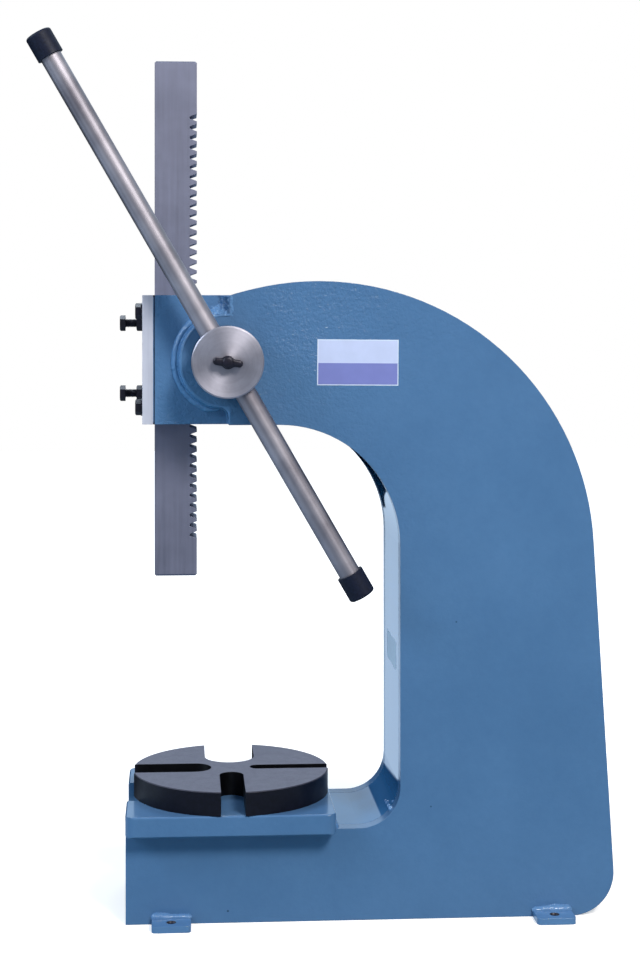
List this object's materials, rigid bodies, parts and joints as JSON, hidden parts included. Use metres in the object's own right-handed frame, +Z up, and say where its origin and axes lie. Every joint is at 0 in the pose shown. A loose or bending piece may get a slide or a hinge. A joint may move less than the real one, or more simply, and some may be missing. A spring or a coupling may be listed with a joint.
{
  "type": "arbor press",
  "caption": "Rack-and-pinion arbor press: welded box frame with a deep throat, square ram, bar lever in a round hub, slotted round table and foot lugs.",
  "frame": {"origin": "centre of the four foot holes, on the bench plane", "axes": "+Z up; +X from the operator's side towards the column; the lever hub is on the -Y side; Y = 0 is the middle plane of the ram and the frame"},
  "size_m": [0.5433, 0.2136, 0.8212],
  "materials": {
    "paint": "satin blue machine paint",
    "bare_steel": "turned and ground",
    "rack_steel": "milled",
    "cover_steel": "bare plate",
    "table_steel": "blackened, with milled faces",
    "black_oxide": "black oxide",
    "rubber": "moulded",
    "bronze": "turned bearing bronze"
  },
  "bodies": {
    "frame": {"side_plate_near": "paint", "side_plate_far": "paint", "throat_strip": "paint", "rear_strip": "paint", "head_block": "paint", "bed_plate": "paint", "table_pivot": "bare_steel", "foot_lug_front_near": "paint", "foot_lug_front_far": "paint", "foot_lug_rear_near": "paint", "foot_lug_rear_far": "paint", "cover_plate": "cover_steel", "ram_gib": "bronze", "cover_bolts": "black_oxide", "cover_washers": "black_oxide", "adjusting_screws": "black_oxide", "lock_nuts": "black_oxide", "bush_near": "bronze", "bush_far": "bronze"},
    "shaft": {"lever_shaft": "bare_steel", "pinion": "rack_steel", "shaft_key": "bare_steel", "retaining_collar": "bare_steel", "collar_screw": "black_oxide"},
    "ram": {"ram": "rack_steel"},
    "lever": {"lever_bar": "bare_steel", "lever_cap_upper": "rubber", "lever_cap_lower": "rubber"},
    "wing_screw": {"wing_screw": "black_oxide"},
    "table": {"table_plate": "table_steel"}
  },
  "joints": [
    {"name": "pinion_turn", "type": "hinge", "parent": "frame", "child": "shaft", "pos_m": [-0.126, 0, 0.518], "axis": [0, 1, 0], "range_deg": [-355, 275]},
    {"name": "ram_slide", "type": "slide", "parent": "frame", "child": "ram", "axis": [0, 0, 1], "range_m": [-0.1865, 0.1445]},
    {"name": "lever_slide", "type": "slide", "parent": "shaft", "child": "lever", "axis": [0.5, 0, -0.866], "range_m": [-0.187, 0.283]},
    {"name": "wing_turn", "type": "hinge", "parent": "shaft", "child": "wing_screw", "pos_m": [-0.126, -0.0903, 0.518], "axis": [0, -1, 0], "range_deg": [0, 360]},
    {"name": "table_turn", "type": "hinge", "parent": "frame", "child": "table", "pos_m": [-0.1205, 0, 0.104], "axis": [0, 0, 1], "continuous": true}
  ],
  "couplings": [
    {"joint": "ram_slide", "follows": "pinion_turn", "m_per_rad": 0.03}
  ]
}
